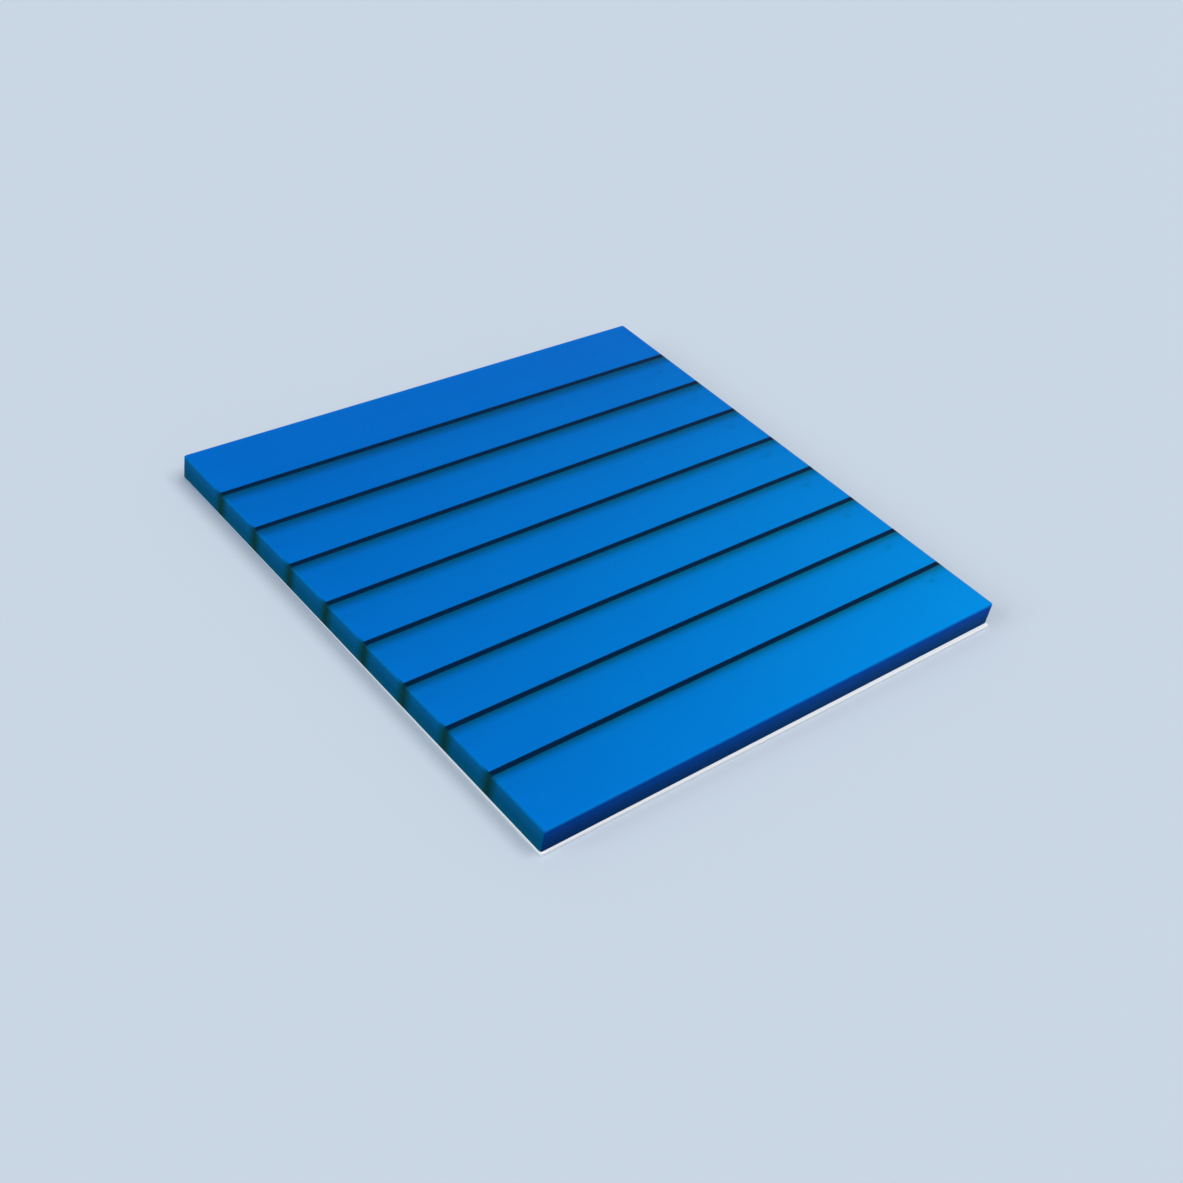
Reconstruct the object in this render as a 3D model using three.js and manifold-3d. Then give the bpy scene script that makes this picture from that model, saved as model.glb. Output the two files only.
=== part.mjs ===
// A pad of transparent sticky notes: a block of tinted film sheets on a white
// backing card, with black ruled lines printed across every sheet.
// Millimetres, +Z up. The pad lies on its card, the ruled lines run along X,
// and +Y points to the top of the page. The origin is under the middle of the pad.

import * as THREE from 'three';
import { mergeVertices } from 'three/addons/utils/BufferGeometryUtils.js';
import Module from 'manifold-3d';

const wasm = await Module();
wasm.setup();

// Sheets
const padWidth = 75;
const padHeight = 75;
const sheetCount = 50;
const sheetThickness = 0.066;
const cornerRadius = 0.3;
const cornerSteps = 6;

// Printed ruling: each line lies on the upper face of its sheet
const lineCount = 8;
const lineWidth = 0.7;
const linePitch = 8;
const topMargin = 9.4;

// Backing card: cut to the size of the sheets and glued on slightly askew,
// a little nearer to the page's lower edge
const cardThickness = 0.5;
const cardTurnDegrees = 0.22;
const cardSetForward = 0.2;

// Room that a cutting box has beyond what it cuts
const cutterMargin = 1;

// Finishes
const filmFinish = { color: 0x0273cf, roughness: 0.25, metalness: 0 };
const inkFinish = { color: 0x06142b, roughness: 0.4, metalness: 0 };
const cardFinish = { color: 0xf1f3f5, roughness: 0.55, metalness: 0 };

// What follows from the sizes
const cardTurn = THREE.MathUtils.degToRad(cardTurnDegrees);
const blockHeight = sheetCount * sheetThickness;
const blockBottom = cardThickness;
const blockTop = blockBottom + blockHeight;
const inkBottom = blockBottom + sheetThickness;

// The card is set forward and turned about its near left corner, so it leaves
// the block by these amounts, to the right and to the front. Half of each goes
// to either side of the origin, which stays in the middle of the whole pad.
const cardReachRight = padWidth * Math.cos(cardTurn) + padHeight * Math.sin(cardTurn) - padWidth;
const cardReachFront = cardSetForward + padWidth * Math.sin(cardTurn);
const blockCentreX = -cardReachRight / 2;
const blockCentreY = cardReachFront / 2;
const nearLeftCorner = new THREE.Vector3(
  blockCentreX - padWidth / 2,
  blockCentreY - padHeight / 2,
  0,
);

// The outline of a sheet, with its near left corner at 0, 0.
function sheetOutline() {
  const outline = new THREE.Shape();
  const right = padWidth - cornerRadius;
  const top = padHeight - cornerRadius;
  outline.absarc(right, cornerRadius, cornerRadius, -Math.PI / 2, 0);
  outline.absarc(right, top, cornerRadius, 0, Math.PI / 2);
  outline.absarc(cornerRadius, top, cornerRadius, Math.PI / 2, Math.PI);
  outline.absarc(cornerRadius, cornerRadius, cornerRadius, Math.PI, Math.PI * 1.5);
  return outline;
}

// A slab of that outline, standing on z = 0.
function slab(thickness) {
  return new THREE.ExtrudeGeometry(sheetOutline(), {
    depth: thickness,
    bevelEnabled: false,
    curveSegments: cornerSteps,
  });
}

function toSolid(geometry) {
  const bare = geometry.clone();
  bare.deleteAttribute('normal');
  bare.deleteAttribute('uv');
  const merged = mergeVertices(bare);
  return new wasm.Manifold(new wasm.Mesh({
    numProp: 3,
    vertProperties: merged.attributes.position.array,
    triVerts: merged.index.array,
  }));
}

function toGeometry(solid) {
  const mesh = solid.getMesh();
  const geometry = new THREE.BufferGeometry();
  geometry.setAttribute('position', new THREE.BufferAttribute(mesh.vertProperties, 3));
  geometry.setIndex(new THREE.BufferAttribute(mesh.triVerts, 1));
  geometry.computeVertexNormals();
  return geometry;
}

function namedMesh(name, geometry, finish) {
  const mesh = new THREE.Mesh(geometry, new THREE.MeshStandardMaterial(finish));
  mesh.name = name;
  return mesh;
}

// Where ruled line number index crosses the page, counted from its top.
function lineY(index) {
  return blockCentreY + padHeight / 2 - topMargin - index * linePitch;
}

// The print of one line on all the sheets, stacked into a wall of ink that
// starts on the lowest sheet and runs past the block's ends and top.
function lineCutter(index) {
  const length = padWidth + 2 * cutterMargin;
  const height = blockTop + cutterMargin - inkBottom;
  const box = new THREE.BoxGeometry(length, lineWidth, height);
  box.translate(blockCentreX, lineY(index), inkBottom + height / 2);
  return toSolid(box);
}

const blockGeometry = slab(blockHeight);
blockGeometry.translate(nearLeftCorner.x, nearLeftCorner.y, blockBottom);
const block = toSolid(blockGeometry);

const lineCutters = Array.from({ length: lineCount }, (_, index) => lineCutter(index));
const filmSheets = lineCutters.reduce((rest, cutter) => rest.subtract(cutter), block);

const pad = new THREE.Group();
pad.add(namedMesh('film_sheets', toGeometry(filmSheets), filmFinish));

lineCutters.forEach((cutter, index) => {
  const ink = toGeometry(block.intersect(cutter));
  pad.add(namedMesh(`ruled_line_${index + 1}`, ink, inkFinish));
});

const backingCard = namedMesh('backing_card', slab(cardThickness), cardFinish);
backingCard.position.set(nearLeftCorner.x, nearLeftCorner.y - cardSetForward, 0);
backingCard.rotation.z = -cardTurn;
pad.add(backingCard);

export default pad;
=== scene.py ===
# %% [markdown]
# # A pad of transparent sticky notes
# The real thing is a block of about fifty tinted film sheets on a white
# card. Black lines are printed on every sheet, so they show as thin lines on
# top and as dark bars down the two sides where they end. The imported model
# already has each piece at its true size. It could be measured by hand, but
# its boxes give the same numbers and follow any change, so the frame is
# loaded first and all that follows is placed from it.

# %% Load the frame
import math
import random

import bpy
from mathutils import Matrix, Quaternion
from mathutils import Vector


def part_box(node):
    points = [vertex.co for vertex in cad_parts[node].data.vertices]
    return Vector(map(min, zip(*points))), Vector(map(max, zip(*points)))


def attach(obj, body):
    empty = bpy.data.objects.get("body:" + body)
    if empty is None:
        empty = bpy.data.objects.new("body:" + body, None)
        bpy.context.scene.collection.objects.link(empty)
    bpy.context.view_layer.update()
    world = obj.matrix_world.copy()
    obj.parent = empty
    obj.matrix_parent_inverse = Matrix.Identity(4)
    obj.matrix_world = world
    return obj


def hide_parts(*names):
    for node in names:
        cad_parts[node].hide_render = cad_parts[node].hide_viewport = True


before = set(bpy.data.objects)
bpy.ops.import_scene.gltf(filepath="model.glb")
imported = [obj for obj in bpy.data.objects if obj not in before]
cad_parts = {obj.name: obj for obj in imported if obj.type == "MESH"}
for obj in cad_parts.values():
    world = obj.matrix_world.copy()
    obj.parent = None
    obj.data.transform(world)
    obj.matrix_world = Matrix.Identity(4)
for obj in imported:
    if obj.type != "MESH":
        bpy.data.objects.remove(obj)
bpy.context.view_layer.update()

MM = 0.001
block_low, block_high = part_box("film_sheets")
block_middle = (block_low + block_high) / 2
block_size = block_high - block_low
print("film block", [round(side / MM, 3) for side in block_size], "mm")

# %% [markdown]
# ## Camera
# A camera could be dragged into place, but a picture with straight edges
# gives it by arithmetic: the pad's corners fix where the lens stood. It is
# set by an azimuth, an elevation and a distance from the middle of the top
# face. It aims a few millimetres off that middle, so that the whole pad
# stands in the middle of the picture, and is turned a little about its own
# axis, as a hand-held one is.

# %% Camera
CAMERA_AZIMUTH = math.radians(-46.5)
CAMERA_ELEVATION = math.radians(36.8)
CAMERA_DISTANCE = 215.8 * MM
CAMERA_ROLL = math.radians(11.6)
AIM_OFFSET = Vector((-4.5, -6.4, -3.8)) * MM
SENSOR_WIDTH_MM = 36.0
FOCAL_LENGTH_MM = 51.0
NEAR_CLIP = 10 * MM

top_centre = Vector((block_middle.x, block_middle.y, block_high.z))
towards_camera = Vector((
    math.sin(CAMERA_AZIMUTH) * math.cos(CAMERA_ELEVATION),
    -math.cos(CAMERA_AZIMUTH) * math.cos(CAMERA_ELEVATION),
    math.sin(CAMERA_ELEVATION),
))
camera_place = top_centre + towards_camera * CAMERA_DISTANCE
camera_line = top_centre + AIM_OFFSET - camera_place

camera_data = bpy.data.cameras.new("camera")
camera_data.sensor_width = SENSOR_WIDTH_MM
camera_data.lens = FOCAL_LENGTH_MM
camera_data.clip_start = NEAR_CLIP
camera = bpy.data.objects.new("camera", camera_data)
camera.location = camera_place
camera.rotation_mode = "QUATERNION"
camera.rotation_quaternion = (
    camera_line.to_track_quat("-Z", "Y") @ Quaternion((0, 0, 1), CAMERA_ROLL)
)
bpy.context.scene.collection.objects.link(camera)
bpy.context.scene.camera = camera
print("camera at", [round(value / MM, 1) for value in camera_place], "mm")

# %% [markdown]
# ## A stack that is built sheet by sheet
# A block of film could be one box with lines drawn on its sides. A real one
# has a cut edge for every sheet, a few hundredths of a millimetre in or out
# of its neighbours, and that is what breaks up the light on its sides. So
# the block will grow from one flat outline: its face is extruded up by the
# thickness of a sheet and scaled by a hair, fifty times over. The dice that
# set each sheet's place have a fixed seed, so the stack is always the same.

# %% Sheets of the stack
SHEET_COUNT = 50
SHEET_SEED = 11
EDGE_INSET_LEAST = 0.012 * MM
EDGE_INSET_MOST = 0.045 * MM
SHEET_SLIP = 0.008 * MM

sheet_thickness = block_size.z / SHEET_COUNT
dice = random.Random(SHEET_SEED)
sheets = []
for number in range(SHEET_COUNT):
    sheets.append({
        "inset": dice.uniform(EDGE_INSET_LEAST, EDGE_INSET_MOST),
        "slip": Vector((dice.uniform(-1, 1), dice.uniform(-1, 1), 0)) * SHEET_SLIP,
    })
print(SHEET_COUNT, "sheets of", round(sheet_thickness / MM, 4), "mm")

# %% [markdown]
# Each sheet gives two levels: a short slope from the sheet below, and the
# upright rest of its cut edge. The knife also presses the uppermost edges
# down. A bevel afterwards could round them, but it would cut across the
# sheets, so the last rings of the climb follow an arc instead. The film ends
# a hair below the top of its solid, which leaves room for the ink.

# %% Levels of the stack
SHEET_LIP = 0.2
ARRIS_RADIUS = 0.17 * MM
ARRIS_RINGS = 6
INK_PROUD = 0.004 * MM

film_top = block_high.z - INK_PROUD


def arris_inset(depth):
    """How far the rounded upper edge lies inside the side wall at a depth below the top."""
    if depth >= ARRIS_RADIUS:
        return 0.0
    rise = ARRIS_RADIUS - depth
    return ARRIS_RADIUS - math.sqrt(max(ARRIS_RADIUS ** 2 - rise ** 2, 0.0))


def sheet_floor(number):
    """Height of a sheet's lower face."""
    return block_low.z + number * sheet_thickness


def levels_to_the_top(first_sheet):
    """Heights at which the outline changes, each with its sheet; an arc ends them at the top."""
    levels = []
    for number in range(first_sheet, SHEET_COUNT):
        levels.append((sheet_floor(number) + sheet_thickness * SHEET_LIP, number))
        levels.append((sheet_floor(number + 1), number))
    levels = [level for level in levels if level[0] < film_top - ARRIS_RADIUS]
    for ring in range(ARRIS_RINGS + 1):
        turn = math.pi / 2 * ring / ARRIS_RINGS
        levels.append((film_top - ARRIS_RADIUS * (1 - math.sin(turn)), SHEET_COUNT - 1))
    return levels


print(len(levels_to_the_top(0)), "levels up the stack")


# %% [markdown]
# Blender's operators act on all that is selected, in the mode that is set.
# Loading the frame leaves its solids selected, so each piece starts with
# nothing selected, and edit mode is entered with the kind of element that
# the next operator works on.

# %% A clean start for each piece
def deselect_all():
    """Nothing selected and nothing active."""
    for item in bpy.context.selected_objects:
        item.select_set(False)
    bpy.context.view_layer.objects.active = None


def edit_by(select_mode):
    """Edit mode on the active object, with vertices, edges or faces as what is picked."""
    bpy.ops.object.mode_set(mode="EDIT")
    bpy.ops.mesh.select_mode(type=select_mode)


deselect_all()
print(len(bpy.context.selected_objects), "objects selected")

# %% [markdown]
# Both the film and the printed lines grow sheet by sheet, so the climb is one
# function. It takes the outline's size and middle for each level, extrudes
# the face that is selected up to it, and scales it about its own middle.
# Fifty stacked boxes would look alike, but they would hide faces inside,
# where the extruded block is one closed skin.

# %% Climb from level to level
MERGE_DISTANCE = 1e-8
SMOOTH_ANGLE = math.radians(35)


def climb(start, levels, outline):
    """Extrudes the selected face through the levels; outline gives the size and middle of each."""
    height = start
    size, middle = outline(start, levels[0][1])
    for next_height, number in levels:
        next_size, next_middle = outline(next_height, number)
        step = next_middle - middle
        bpy.ops.mesh.extrude_region_move(
            TRANSFORM_OT_translate={"value": (step.x, step.y, next_height - height)}
        )
        bpy.ops.transform.resize(
            value=(next_size.x / size.x, next_size.y / size.y, 1),
            center_override=(next_middle.x, next_middle.y, next_height),
        )
        height = next_height
        size = next_size
        middle = next_middle


def finish_mesh(piece):
    """Merges doubles, turns every face outwards and smooths the gentle edges."""
    bpy.ops.mesh.select_all(action="SELECT")
    bpy.ops.mesh.remove_doubles(threshold=MERGE_DISTANCE)
    bpy.ops.mesh.normals_make_consistent(inside=False)
    bpy.ops.mesh.select_all(action="DESELECT")
    bpy.ops.object.mode_set(mode="OBJECT")
    bpy.ops.object.transform_apply(location=True, rotation=True, scale=True)
    bpy.ops.object.shade_smooth_by_angle(angle=SMOOTH_ANGLE)
    print(piece.name, len(piece.data.vertices), "vertices", len(piece.data.polygons), "faces")


print("edges that turn under", round(math.degrees(SMOOTH_ANGLE)), "degrees will be smooth")

# %% [markdown]
# ## Film block
# The outline of a sheet is a square with corners that a punch has rounded a
# little. A plane is bevelled at its corner points, and its face then climbs.
# The foot starts a hair above the card, because two faces in one place would
# shade each other in dark patches.

# %% Film block
CORNER_RADIUS = 0.3 * MM
CORNER_SEGMENTS = 6
FOOT_GAP = 0.01 * MM

foot = block_low.z + FOOT_GAP


def film_outline(height, number):
    """Size and middle of the film's outline at a height, on one sheet."""
    sheet = sheets[number]
    inset = sheet["inset"] + arris_inset(film_top - height)
    size = Vector((block_size.x - 2 * inset, block_size.y - 2 * inset, 0))
    middle = Vector((block_middle.x, block_middle.y, 0)) + sheet["slip"]
    return size, middle


deselect_all()
foot_size, foot_middle = film_outline(foot, 0)
bpy.ops.mesh.primitive_plane_add(size=1, location=(foot_middle.x, foot_middle.y, foot))
film_block = bpy.context.object
film_block.name = "film_block"
film_block.scale = (foot_size.x, foot_size.y, 1)
bpy.ops.object.transform_apply(location=True, rotation=True, scale=True)
edit_by("VERT")
bpy.ops.mesh.select_all(action="SELECT")
bpy.ops.mesh.bevel(
    offset=CORNER_RADIUS, segments=CORNER_SEGMENTS, affect="VERTICES", offset_type="OFFSET"
)
bpy.ops.mesh.select_mode(type="FACE")
bpy.ops.mesh.select_all(action="SELECT")
climb(foot, levels_to_the_top(0), film_outline)
finish_mesh(film_block)

# %% [markdown]
# ## Printed lines
# Ink lies on the upper face of every sheet, so under each line there is a
# wall of fifty thin prints. A pattern in the film's material could draw the
# lines, but nothing would show through the clear top, so the wall is
# modelled. It climbs through the same sheets as the film and its ends follow
# their edges, a few thousandths of a millimetre proud, so the bars on the
# sides belong to the sheets. The press drifts slowly from one sheet to the
# next, which is why the bars' sides aren't quite straight.

# %% Place of the print on each sheet
PRINT_DRIFT = 0.045 * MM
PRINT_DRIFT_SHEETS = 23
PRINT_SLIP = 0.005 * MM

line_nodes = sorted(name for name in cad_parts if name.startswith("ruled_line_"))
line_boxes = [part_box(name) for name in line_nodes]
line_middles = [(low.y + high.y) / 2 for low, high in line_boxes]
line_width = line_boxes[0][1].y - line_boxes[0][0].y

for number, sheet in enumerate(sheets):
    drift = math.sin(2 * math.pi * (SHEET_COUNT - 1 - number) / PRINT_DRIFT_SHEETS)
    sheet["print_slip"] = drift * PRINT_DRIFT + dice.uniform(-1, 1) * PRINT_SLIP
sheets[-1]["print_slip"] = 0.0
print(len(line_nodes), "lines", round(line_width / MM, 3), "mm wide")

# %% [markdown]
# One wall is made first. A strip across the page climbs as the film did, with
# each level a hair above the film's, so that the last print stands on the top
# sheet as real ink does. A plain box would be quicker, but its ends would be
# straight and miss the edges of the sheets.

# %% One line, printed through the stack
def ink_outline(height, number):
    """Size and middle of the first line's print at a height, on one sheet."""
    sheet = sheets[number]
    inset = sheet["inset"] + arris_inset(film_top - height) - INK_PROUD
    size = Vector((block_size.x - 2 * inset, line_width, 0))
    middle = Vector((block_middle.x + sheet["slip"].x, line_middles[0] + sheet["print_slip"], 0))
    return size, middle


deselect_all()
ink_low = sheet_floor(1)
first_size, first_middle = ink_outline(ink_low, 1)
bpy.ops.mesh.primitive_plane_add(size=1, location=(first_middle.x, first_middle.y, ink_low))
line_master = bpy.context.object
line_master.name = "ruled_line_print_1"
line_master.scale = (first_size.x, first_size.y, 1)
bpy.ops.object.transform_apply(location=True, rotation=True, scale=True)
edit_by("FACE")
bpy.ops.mesh.select_all(action="SELECT")
ink_levels = [(height + INK_PROUD, number) for height, number in levels_to_the_top(1)]
climb(ink_low, ink_levels, lambda height, number: ink_outline(height - INK_PROUD, number))
finish_mesh(line_master)

# %% [markdown]
# All the lines come from one printing plate, so they drift alike. The other
# seven could climb for themselves, but a copy of the first, moved down the
# page to its own solid's place, is the same. Each copy has its own mesh.

# %% The other lines
line_prints = [line_master]
for name, line_middle in zip(line_nodes[1:], line_middles[1:]):
    line_print = line_master.copy()
    line_print.data = line_master.data.copy()
    line_print.name = name.replace("line_", "line_print_")
    bpy.context.scene.collection.objects.link(line_print)
    deselect_all()
    line_print.select_set(True)
    bpy.context.view_layer.objects.active = line_print
    line_print.location.y = line_middle - line_middles[0]
    bpy.ops.object.transform_apply(location=True, rotation=True, scale=True)
    line_prints.append(line_print)
print(len(line_prints), "lines")

# %% [markdown]
# ## Backing card
# The card is cut to the size of the sheets and was glued on a little askew,
# so a strip of it shows along the front that widens to the right. Its
# outline could be measured from the picture, but the turn is already in the
# solid: the angle is read from the way that its straight back side looks.

# %% Turn of the card
BACK_FACE = 0.99


def turn_of_solid(name):
    """How far a solid is turned clockwise, by the normal of its back side's largest face."""
    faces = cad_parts[name].data.polygons
    back_faces = [face for face in faces if face.normal.y > BACK_FACE]
    back_side = max(back_faces, key=lambda face: face.area)
    return math.atan2(back_side.normal.x, back_side.normal.y)


card_turn = turn_of_solid("backing_card")
print("card turned by", round(math.degrees(card_turn), 3), "degrees")

# %% [markdown]
# A card could be an extruded outline like the film, but it is one layer, so a
# cube is flattened and turned, and its four upright edges are bevelled to the
# corners of the sheets. A knife leaves card with slightly crushed edges,
# which a small bevel modifier gives all round.

# %% Card
CARD_EDGE = 0.07 * MM
CARD_EDGE_SEGMENTS = 3
CARD_EDGE_ANGLE = math.radians(60)

card_low, card_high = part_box("backing_card")
card_thickness = card_high.z - card_low.z

deselect_all()
bpy.ops.mesh.primitive_cube_add(size=1, location=(card_low + card_high) / 2)
card = bpy.context.object
card.name = "white_card"
card.scale = (block_size.x, block_size.y, card_thickness)
bpy.ops.object.transform_apply(location=False, rotation=False, scale=True)
card.rotation_euler.z = -card_turn
bpy.ops.object.transform_apply(location=True, rotation=True, scale=True)
edit_by("EDGE")
bpy.ops.mesh.select_all(action="DESELECT")
bpy.ops.object.mode_set(mode="OBJECT")
for edge in card.data.edges:
    first, second = (card.data.vertices[index].co for index in edge.vertices)
    edge.select = abs(first.z - second.z) > card_thickness / 2
bpy.ops.object.mode_set(mode="EDIT")
bpy.ops.mesh.bevel(offset=CORNER_RADIUS, segments=CORNER_SEGMENTS, affect="EDGES")
bpy.ops.object.mode_set(mode="OBJECT")
bevel = card.modifiers.new("crushed_edge", "BEVEL")
bevel.width = CARD_EDGE
bevel.segments = CARD_EDGE_SEGMENTS
bevel.limit_method = "ANGLE"
bevel.angle_limit = CARD_EDGE_ANGLE
bpy.ops.object.modifier_apply(modifier="crushed_edge")
bpy.ops.object.shade_smooth_by_angle(angle=SMOOTH_ANGLE)
print("card", round(card_thickness / MM, 3), "mm thick,", len(card.data.polygons), "faces")

# %% [markdown]
# ## Film
# The film is the main finish. It is a smooth tinted plastic that lets some
# light in: part of it comes straight back as colour, and part goes down into
# the stack, where it meets the walls of ink and, at the foot, the film that
# lies on the card. The top face is therefore partly clear and the foot isn't.
# That is what gives each line its soft dark shadow inside the film. Glass
# with real refraction could do it too, but in fifty thin sheets it would need
# many more samples, so the clearness is set by alpha.

# %% Shader of the film
def new_material(name):
    """An empty node material with its shader and output."""
    material = bpy.data.materials.new(name)
    material.use_nodes = True
    nodes = material.node_tree.nodes
    nodes.clear()
    output = nodes.new("ShaderNodeOutputMaterial")
    shader = nodes.new("ShaderNodeBsdfPrincipled")
    material.node_tree.links.new(shader.outputs["BSDF"], output.inputs["Surface"])
    return material, shader


def set_sockets(node, **values):
    """Sets input sockets by name, with underscores for the spaces."""
    for name, value in values.items():
        node.inputs[name.replace("_", " ")].default_value = value


film, film_shader = new_material("tinted_film")
set_sockets(film_shader, Roughness=0.22, IOR=1.5, Specular_IOR_Level=0.08, Alpha=0.25)
print(film.name, "has alpha", film_shader.inputs["Alpha"].default_value)

# %% [markdown]
# No film, ink or card is perfectly flat or even. Each could have a noise
# texture of its own, but they differ only in scale and height, so one node
# group makes the noise and each material places it with its own values.

# %% Unevenness, shared by film, ink and card
def make_unevenness_group():
    """A node group: soft noise in Object coordinates, as a mask and as a bumped normal."""
    group = bpy.data.node_groups.new("unevenness", "ShaderNodeTree")
    group.interface.new_socket("Scale", in_out="INPUT", socket_type="NodeSocketFloat")
    group.interface.new_socket("Height", in_out="INPUT", socket_type="NodeSocketFloat")
    group.interface.new_socket("Mask", in_out="OUTPUT", socket_type="NodeSocketFloat")
    group.interface.new_socket("Normal", in_out="OUTPUT", socket_type="NodeSocketVector")
    nodes = group.nodes
    links = group.links
    entry = nodes.new("NodeGroupInput")
    leave = nodes.new("NodeGroupOutput")
    place = nodes.new("ShaderNodeTexCoord")
    noise = nodes.new("ShaderNodeTexNoise")
    bump = nodes.new("ShaderNodeBump")
    noise.inputs["Detail"].default_value = 3.0
    bump.inputs["Strength"].default_value = 1.0
    links.new(place.outputs["Object"], noise.inputs["Vector"])
    links.new(entry.outputs["Scale"], noise.inputs["Scale"])
    links.new(entry.outputs["Height"], bump.inputs["Distance"])
    links.new(noise.outputs["Fac"], bump.inputs["Height"])
    links.new(noise.outputs["Fac"], leave.inputs["Mask"])
    links.new(bump.outputs["Normal"], leave.inputs["Normal"])
    return group


def add_unevenness(material, shader, scale, height):
    """Places the shared group in a material and bends the shader's normal with it."""
    node = material.node_tree.nodes.new("ShaderNodeGroup")
    node.node_tree = unevenness
    set_sockets(node, Scale=scale, Height=height)
    material.node_tree.links.new(node.outputs["Normal"], shader.inputs["Normal"])
    return node


unevenness = make_unevenness_group()
film_noise = add_unevenness(film, film_shader, scale=60.0, height=0.01 * MM)
print(unevenness.name, len(unevenness.nodes), "nodes")

# %% [markdown]
# The sheets are glued along the page's upper edge, which is the back edge here. The top of the
# film is painted lighter from there towards the front, most of all at the front right corner. This
# is painted light, standing in for the way the light falls on it. An image could be painted for
# this, but Object coordinates give the place on the pad exactly, and plain arithmetic makes a mask
# of it: 0 along the back edge, growing down the page and to the right.

# %% Painted light across the pad
BACK_EDGE = block_high.y
FRONT_EDGE = block_low.y
LEFT_SHARE = 0.25


def place_along(material, axis, start, end, value_at_start=0.0, value_at_end=1.0):
    """A value that runs from start to end along an axis, read from Object coordinates."""
    nodes = material.node_tree.nodes
    links = material.node_tree.links
    place = nodes.new("ShaderNodeTexCoord")
    split = nodes.new("ShaderNodeSeparateXYZ")
    ramp = nodes.new("ShaderNodeMapRange")
    set_sockets(
        ramp, From_Min=start, From_Max=end, To_Min=value_at_start, To_Max=value_at_end
    )
    links.new(place.outputs["Object"], split.inputs["Vector"])
    links.new(split.outputs[axis], ramp.inputs["Value"])
    return ramp.outputs["Result"]


def calculate(material, operation, first, second):
    """One Math node; each input is a socket or a number."""
    node = material.node_tree.nodes.new("ShaderNodeMath")
    node.operation = operation
    for value, socket in zip((first, second), node.inputs):
        if isinstance(value, float):
            socket.default_value = value
        else:
            material.node_tree.links.new(value, socket)
    return node.outputs["Value"]


def painted_light_mask(material):
    """A painted light mask: 0 at the back edge, growing to the front right corner."""
    down_page = place_along(material, "Y", BACK_EDGE, FRONT_EDGE)
    to_right = place_along(material, "X", block_low.x, block_high.x, LEFT_SHARE, 1.0)
    return calculate(material, "MULTIPLY", down_page, to_right)


film_painted_light = painted_light_mask(film)
# The span printed here is the span of the painted light, from the back edge to the front.
print("sheets loosen over", round((BACK_EDGE - FRONT_EDGE) / MM, 1), "mm")

# %% [markdown]
# The film is painted darker at the back and lighter towards the front right, with painted shade at
# the back and painted light at the front. Two colours are mixed by the mask, with soft noise over
# it, since no film is cast perfectly even. One colour all over would look like painted board.

# %% Film seen from above
# Painted shade for the back of the top and painted light for its front right.
FILM_PAINTED_SHADE = (0.0, 0.207, 0.50)
FILM_PAINTED_LIGHT = (0.0, 0.448, 0.68)
FILM_RIPPLE = 0.2
NOISE_MIDDLE = 0.5


def mix_by_mask(material, mask, first, second, target=None):
    """A colour between two, chosen by a mask. Each is a colour or a socket that gives one."""
    mix = material.node_tree.nodes.new("ShaderNodeMix")
    mix.data_type = "RGBA"
    for name, colour in (("A", first), ("B", second)):
        if isinstance(colour, tuple):
            mix.inputs[name].default_value = (*colour, 1)
        else:
            material.node_tree.links.new(colour, mix.inputs[name])
    material.node_tree.links.new(mask, mix.inputs["Factor"])
    if target is not None:
        material.node_tree.links.new(mix.outputs["Result"], target)
    return mix.outputs["Result"]


def film_colours(material, shader, painted_light, noise, shaded_colour, lit_colour):
    """Tints a film with painted light from the back edge to the front right corner, a little
    unevenly.
    """
    centred = calculate(material, "SUBTRACT", noise.outputs["Mask"], NOISE_MIDDLE)
    ripple = calculate(material, "MULTIPLY", centred, FILM_RIPPLE)
    mask = calculate(material, "ADD", painted_light, ripple)
    mix_by_mask(material, mask, shaded_colour, lit_colour, shader.inputs["Base Color"])


film_colours(film, film_shader, film_painted_light, film_noise, FILM_PAINTED_SHADE, FILM_PAINTED_LIGHT)
print(film.name, len(film.node_tree.nodes), "nodes")

# %% [markdown]
# The foot of the stack is where sight ends, deep in the film. It has the same painted light and
# shade, darker at the back and lighter to the front right. It is purer, as light that has crossed
# fifty sheets is, and it has no gloss, because no air lies over it. The top could be opaque and
# need no foot, but then the walls of ink would be lost from sight.

# %% Film in the depth of the stack
# Painted shade for the back of the foot and painted light for its front right.
DEEP_PAINTED_SHADE = (0.0, 0.125, 0.65)
DEEP_PAINTED_LIGHT = (0.0, 0.231, 0.84)

deep_film, deep_shader = new_material("deep_film")
set_sockets(deep_shader, Roughness=0.7, Specular_IOR_Level=0.0)
deep_noise = add_unevenness(deep_film, deep_shader, scale=90.0, height=0.01 * MM)
deep_painted_light = painted_light_mask(deep_film)
film_colours(deep_film, deep_shader, deep_painted_light, deep_noise, DEEP_PAINTED_SHADE, DEEP_PAINTED_LIGHT)
print(deep_film.name, len(deep_film.node_tree.nodes), "nodes")

# %% [markdown]
# ## Ink
# Ink is the same on every sheet, but it is seen in three ways: bare on top,
# as a stack of print ends between film edges on the sides, and through ever
# more film down the walls. One black would make the walls end in a hard line
# at the foot, so down there the ink fades from sight, quickly at first.
# Light finds its way past such thin prints, so shadow rays, which ask whether
# a lamp reaches a place, pass the ink, while the eye still sees it.

# %% Ink
INK_COLOURS = ((0.0, 0.009, 0.034), (0.0, 0.015, 0.052))
INK_END_COLOURS = ((0.0, 0.032, 0.040), (0.0, 0.046, 0.056))
VEIL_DEPTH = 2.2 * MM
VEIL_EASE = 1.5


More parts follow.
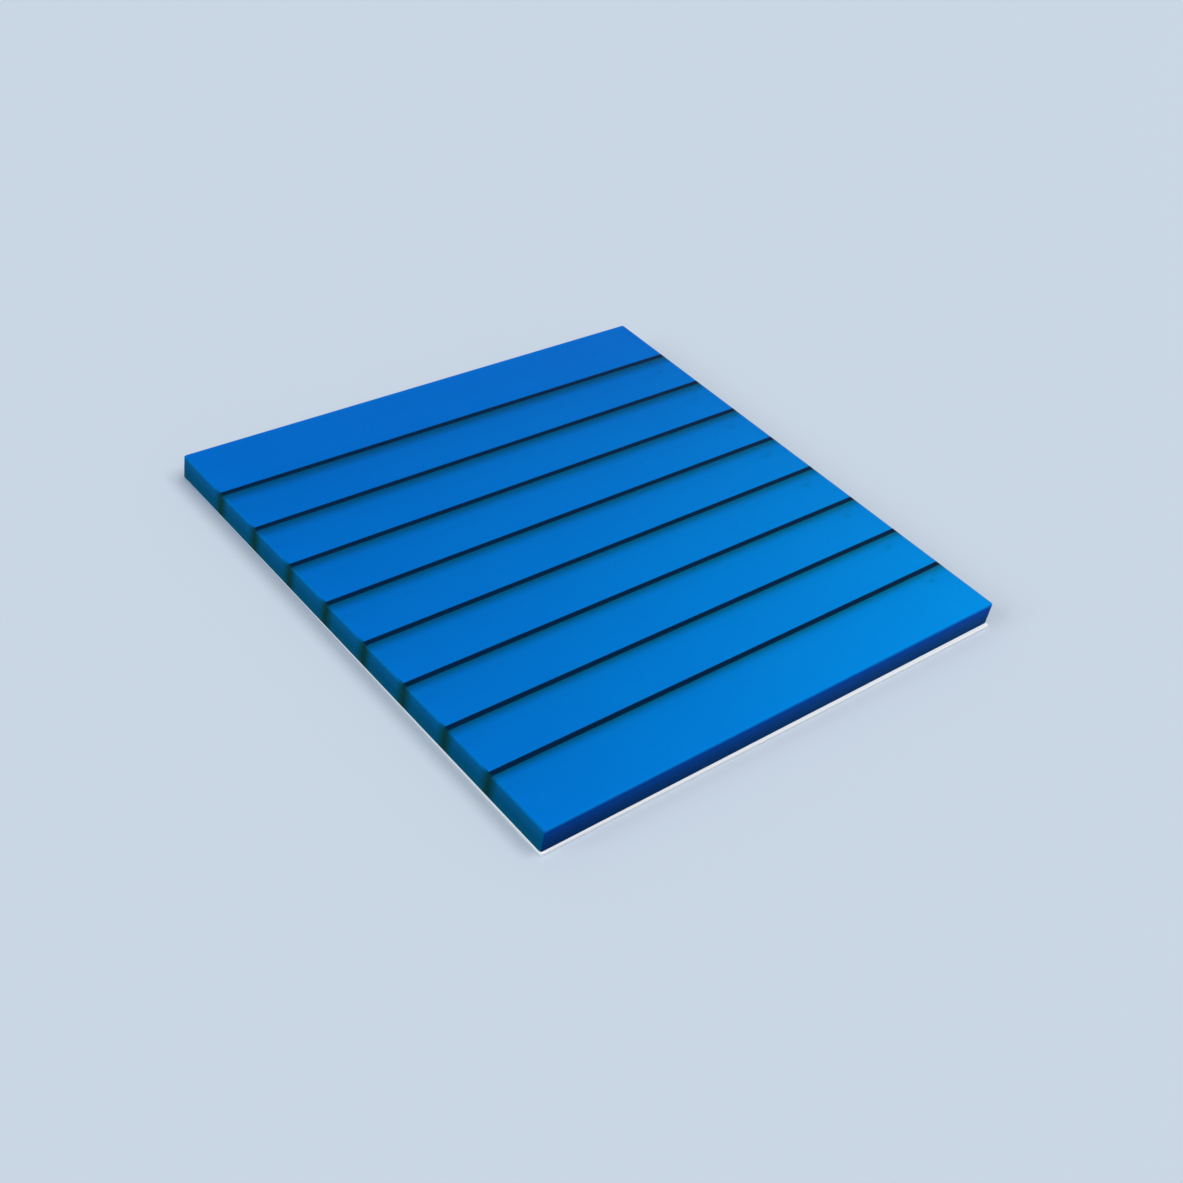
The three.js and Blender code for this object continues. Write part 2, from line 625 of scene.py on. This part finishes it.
def ink_material(name, colours):
    """Printed black with a trace of blue."""
    material, shader = new_material(name)
    noise = add_unevenness(material, shader, scale=900.0, height=0.004 * MM)
    mix_by_mask(material, noise.outputs["Mask"], *colours, shader.inputs["Base Color"])
    set_sockets(shader, Roughness=0.4, Specular_IOR_Level=0.02)
    return material, shader


def open_to_light(material, shader, alpha, passing=1.0, diffuse=False):
    """Sets the alpha, and lets rays of light through where passing is 1."""
    path = material.node_tree.nodes.new("ShaderNodeLightPath")
    light = path.outputs["Is Shadow Ray"]
    if diffuse:
        light = calculate(material, "MAXIMUM", light, path.outputs["Is Diffuse Ray"])
    passed = calculate(material, "MULTIPLY", light, passing)
    held = calculate(material, "SUBTRACT", 1.0, passed)
    kept = calculate(material, "MULTIPLY", held, alpha)
    material.node_tree.links.new(kept, shader.inputs["Alpha"])


ink, ink_shader = ink_material("bare_ink", INK_COLOURS)
open_to_light(ink, ink_shader, 1.0)
ink_ends = ink_material("ink_between_sheets", INK_END_COLOURS)[0]
veiled_ink, veiled_shader = ink_material("ink_under_film", INK_COLOURS)
nearness = place_along(veiled_ink, "Z", film_top - VEIL_DEPTH, film_top)
open_to_light(veiled_ink, veiled_shader, calculate(veiled_ink, "POWER", nearness, VEIL_EASE))
print("the ink fades over", round(VEIL_DEPTH / MM, 1), "mm")

# %% [markdown]
# The three kinds of ink lie on one mesh. It could be cut into three, but the
# faces already say which is which: the highest one is the bare print, those
# that look along the line are its ends, and the rest lie under film.

# %% Each face of a line takes its ink
END_FACE = 0.5
INK_SLOTS = (ink, ink_ends, veiled_ink)

for line_print in line_prints:
    for material in INK_SLOTS:
        line_print.data.materials.append(material)
    print_top = max(face.center.z for face in line_print.data.polygons)
    for face in line_print.data.polygons:
        if face.center.z == print_top:
            face.material_index = INK_SLOTS.index(ink)
        elif abs(face.normal.x) > END_FACE:
            face.material_index = INK_SLOTS.index(ink_ends)
        else:
            face.material_index = INK_SLOTS.index(veiled_ink)
print(len(line_prints), "lines have", len(INK_SLOTS), "kinds of ink each")

# %% [markdown]
# ## Cut edges
# The sides are the cut edges of all the sheets. Their colour is painted light and shade. It falls
# off from a painted bright rim, where light leaks out under the top, to a painted dark foot. A
# ramp up the height gives that. It follows the box of the frame, which a painted image wouldn't.
# The front and the back are painted darker than the ends, as sides turned from the light, and
# darker on the left than on the right, so they mix two ramps.

# %% Painted light and shade of the cut edges
# Painted light at the rim and painted shade at the foot. The ends are painted lighter than the
# front and back, which face away from the light.
END_LIGHT_AND_SHADE = (
    (0.0, (0.0, 0.095, 0.175)),
    (0.5, (0.0, 0.09, 0.225)),
    (0.9, (0.0, 0.12, 0.31)),
    (1.0, (0.0, 0.17, 0.48)),
)
FRONT_LEFT_LIGHT_AND_SHADE = (
    (0.0, (0.0, 0.027, 0.11)),
    (0.5, (0.0, 0.040, 0.20)),
    (0.9, (0.0, 0.055, 0.32)),
    (1.0, (0.0, 0.20, 0.62)),
)
FRONT_RIGHT_LIGHT_AND_SHADE = (
    (0.0, (0.0, 0.042, 0.15)),
    (0.5, (0.0, 0.062, 0.27)),
    (0.9, (0.0, 0.070, 0.42)),
    (1.0, (0.0, 0.22, 0.68)),
)


def rise_ramp(material, ramp):
    """Painted light and shade up the height of the film block, from a ramp."""
    rise = place_along(material, "Z", block_low.z, block_high.z)
    node = material.node_tree.nodes.new("ShaderNodeValToRGB")
    stops = node.color_ramp.elements
    while len(stops) < len(ramp):
        stops.new(1.0)
    for stop, (position, colour) in zip(stops, ramp):
        stop.position = position
        stop.color = (*colour, 1)
    material.node_tree.links.new(rise, node.inputs["Fac"])
    return node.outputs["Color"]


for title, ramp in (("ends", END_LIGHT_AND_SHADE), ("front", FRONT_LEFT_LIGHT_AND_SHADE)):
    print(title, "run from", ramp[0][1], "at the foot to", ramp[-1][1], "at the rim")

# %% [markdown]
# The ends of the lines darken the film next to them, on either side. Eight
# masks could be made for eight lines. One is enough, because the lines lie at
# an even pitch: the place along the page is counted in pitches, and folded so
# that every line is at 0 and every middle between two lines at a half.

# %% Shade beside the lines
SHADE_REACH = 1.7 * MM
SHADE_COLOUR = (0.0, 0.062, 0.080)
HALF_PITCH = 0.5

line_pitch = line_middles[0] - line_middles[1]


def shade_by_lines(material):
    """1 beside a ruled line and 0 a little way off, on either side of each line."""
    pitches = place_along(
        material,
        "Y",
        line_middles[-1] - line_pitch * HALF_PITCH,
        line_middles[0] + line_pitch * HALF_PITCH,
        -HALF_PITCH,
        len(line_nodes) - HALF_PITCH,
    )
    offset = calculate(material, "PINGPONG", pitches, HALF_PITCH)
    ramp = material.node_tree.nodes.new("ShaderNodeMapRange")
    ramp.interpolation_type = "SMOOTHSTEP"
    set_sockets(
        ramp,
        From_Min=line_width / 2 / line_pitch,
        From_Max=SHADE_REACH / line_pitch,
        To_Min=1.0,
        To_Max=0.0,
    )
    material.node_tree.links.new(offset, ramp.inputs["Value"])
    return ramp.outputs["Result"]


print("a line every", round(line_pitch / MM, 3), "mm")

# %% [markdown]
# Seen through the top, the cut edges are the far walls of a clear block, and
# such a wall mirrors whatever lies in the block. A plain colour there would
# draw a box inside the pad, so the inner side is a mirror. The edge of each
# sheet slopes a little, which would break the picture in the mirror, so
# inside the block the normal loses its rise and lies level.

# %% Upright mirror on the inner sides
MIRROR = (1.0, 1.0, 1.0)
LEVEL_SHARE = (1, 1, 0)


def upright_mirror(material, shader, geometry, bumped):
    """The bumped normal outside, and one that lies level inside the block."""
    nodes = material.node_tree.nodes
    links = material.node_tree.links
    flat = nodes.new("ShaderNodeVectorMath")
    flat.operation = "MULTIPLY"
    flat.inputs[1].default_value = LEVEL_SHARE
    level = nodes.new("ShaderNodeVectorMath")
    level.operation = "NORMALIZE"
    choice = nodes.new("ShaderNodeMix")
    choice.data_type = "VECTOR"
    links.new(geometry.outputs["Normal"], flat.inputs[0])
    links.new(flat.outputs["Vector"], level.inputs[0])
    links.new(geometry.outputs["Backfacing"], choice.inputs["Factor"])
    links.new(bumped, choice.inputs["A"])
    links.new(level.outputs["Vector"], choice.inputs["B"])
    links.new(choice.outputs["Result"], shader.inputs["Normal"])


print("inner sides mirror", MIRROR)


# %% [markdown]
# One material holds both sides of a wall, and Backfacing, which is 1 on the
# inner side of a face, chooses between them. The walls could be doubled
# instead, but two skins in one place would shade each other. Light goes in
# and out through a wall, so from inside shadow rays and diffuse rays pass it,
# and from outside the block is solid and casts its shadow. The ends and the
# front differ only in their ramps and in the shade, so one function makes
# the material for each.

# %% Cut edges of the film
EDGE_ROUGHNESS = 0.5


def cut_edge_material(name, ramps, shaded):
    """The cut edges on one pair of sides: satin film outside and a mirror inside."""
    material, shader = new_material(name)
    links = material.node_tree.links
    noise = add_unevenness(material, shader, scale=500.0, height=0.01 * MM)
    outside = rise_ramp(material, ramps[0])
    if len(ramps) > 1:
        to_right = place_along(material, "X", block_low.x, block_high.x)
        outside = mix_by_mask(material, to_right, outside, rise_ramp(material, ramps[1]))
    if shaded:
        outside = mix_by_mask(material, shade_by_lines(material), outside, SHADE_COLOUR)
    geometry = material.node_tree.nodes.new("ShaderNodeNewGeometry")
    inner = geometry.outputs["Backfacing"]
    outer = calculate(material, "SUBTRACT", 1.0, inner)
    mix_by_mask(material, inner, outside, MIRROR, shader.inputs["Base Color"])
    links.new(inner, shader.inputs["Metallic"])
    links.new(calculate(material, "MULTIPLY", outer, EDGE_ROUGHNESS), shader.inputs["Roughness"])
    set_sockets(shader, Specular_IOR_Level=0.01)
    upright_mirror(material, shader, geometry, noise.outputs["Normal"])
    open_to_light(material, shader, 1.0, passing=inner, diffuse=True)
    print(name, len(material.node_tree.nodes), "nodes")
    return material


cut_ends = cut_edge_material("cut_film_ends", (END_LIGHT_AND_SHADE,), shaded=True)
cut_front = cut_edge_material(
    "cut_film_front", (FRONT_LEFT_LIGHT_AND_SHADE, FRONT_RIGHT_LIGHT_AND_SHADE), shaded=False
)

# %% [markdown]
# All four finishes of the film lie on the one block. It could be split into
# four pieces, but then their rims would have to meet exactly, so each face of
# the whole block is given its finish by the way that it looks and by its
# height. A few slopes between sheets lie nearly level and so count as film,
# which lets them catch the light as the proud edges of a real stack do.

# %% Faces of the film block take their finishes
LEVEL_FACE = 0.95
FILM_SLOTS = (film, deep_film, cut_ends, cut_front)

for material in FILM_SLOTS:
    film_block.data.materials.append(material)
for face in film_block.data.polygons:
    if abs(face.normal.z) < LEVEL_FACE:
        edge = cut_ends if abs(face.normal.x) > abs(face.normal.y) else cut_front
        face.material_index = FILM_SLOTS.index(edge)
    elif face.center.z < film_top - ARRIS_RADIUS:
        face.material_index = FILM_SLOTS.index(deep_film)
    else:
        face.material_index = FILM_SLOTS.index(film)
for slot, material in enumerate(FILM_SLOTS):
    faces = [face for face in film_block.data.polygons if face.material_index == slot]
    print(material.name, len(faces), "faces")

# %% [markdown]
# ## Card stock
# The card is coated white board. It could be pure white, but then its edges
# would be lost in the light, so it stays a little below white, with a faint
# mottle.

# %% Card stock
CARD_COLOURS = ((0.93, 0.94, 0.95), (0.97, 0.975, 0.98))

card_stock, card_shader = new_material("card_stock")
card_noise = add_unevenness(card_stock, card_shader, scale=700.0, height=0.01 * MM)
mix_by_mask(
    card_stock, card_noise.outputs["Mask"], *CARD_COLOURS, card_shader.inputs["Base Color"]
)
set_sockets(card_shader, Roughness=0.55, Specular_IOR_Level=0.4)
card.data.materials.append(card_stock)
print(card_stock.name, len(card_stock.node_tree.nodes), "nodes")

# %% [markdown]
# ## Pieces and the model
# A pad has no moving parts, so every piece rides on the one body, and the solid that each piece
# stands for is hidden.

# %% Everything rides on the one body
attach(film_block, "root")
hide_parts("film_sheets")
for name, line_print in zip(line_nodes, line_prints):
    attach(line_print, "root")
    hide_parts(name)
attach(card, "root")
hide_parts("backing_card")
pieces = (film_block, *line_prints, card)
print(len(pieces), "pieces ride on the root")

# %% [markdown]
# ## Floor
# The pad lies on a pale blue-grey surface that fades into the same pale sky,
# so every view has a plain background. A curved backdrop could give that from
# one side. A floor that is very wide beside the pad gives it from all sides.

# %% Floor
FLOOR_SIZE = 6.0
FLOOR_COLOUR = (0.56, 0.62, 0.70, 1)

deselect_all()
bpy.ops.mesh.primitive_plane_add(size=FLOOR_SIZE, location=(0, 0, card_low.z))
floor = bpy.context.object
floor.name = "floor"
floor_paint, floor_shader = new_material("floor_paint")
set_sockets(floor_shader, Base_Color=FLOOR_COLOUR, Roughness=0.8, Specular_IOR_Level=0.2)
floor.data.materials.append(floor_paint)
print("floor", FLOOR_SIZE, "m wide")

# %% [markdown]
# ## Light
# The light of a studio comes from large soft panels. Panels close to the pad
# would light it well and leave the far floor dark. A sun lamp with a wide
# angle gives the light of a panel of that width, as soft and the same
# everywhere: one nearly overhead, and a weaker one low on the left that lifts
# the cut ends.

# %% Lamps
def soft_sun(name, towards, width, strength, colour):
    """Light that comes from one side of the sky, as wide as a large panel."""
    data = bpy.data.lights.new(name, "SUN")
    data.angle = math.radians(width)
    data.energy = strength
    data.color = colour
    lamp = bpy.data.objects.new(name, data)
    lamp.location = towards
    lamp.rotation_mode = "QUATERNION"
    lamp.rotation_quaternion = (-Vector(towards)).to_track_quat("-Z", "Y")
    bpy.context.scene.collection.objects.link(lamp)
    print(name, width, "degrees wide")


soft_sun(
    "overhead_light",
    towards=(0.09, -0.14, 0.52),
    width=50,
    strength=2.15,
    colour=(1.0, 0.99, 0.97),
)
soft_sun(
    "side_light",
    towards=(-0.6, 0.1, 0.35),
    width=32,
    strength=1.06,
    colour=(0.9, 1.0, 0.98),
)

# %% [markdown]
# A sky as bright as it looks would fill the shadow under the pad and pale the
# film. So the eye and the gloss see it as bright as the floor, and it lights
# only dimly. The helpers for materials serve here too, because a world has a
# tree of nodes as they have.

# %% Sky
SKY_LIGHT = (0.24, 0.264, 0.30)
SKY_SEEN = (0.60, 0.68, 0.78)

world = bpy.data.worlds.new("pale_sky")
bpy.context.scene.world = world
world.use_nodes = True
path = world.node_tree.nodes.new("ShaderNodeLightPath")
background = world.node_tree.nodes["Background"]
seen = path.outputs["Is Camera Ray"]
for kind in ("Is Glossy Ray", "Is Transmission Ray"):
    seen = calculate(world, "MAXIMUM", seen, path.outputs[kind])
mix_by_mask(world, seen, SKY_LIGHT, SKY_SEEN, background.inputs["Color"])
bpy.context.scene.view_settings.view_transform = "Standard"
print("sky seen as", SKY_SEEN, "and lighting as", SKY_LIGHT)
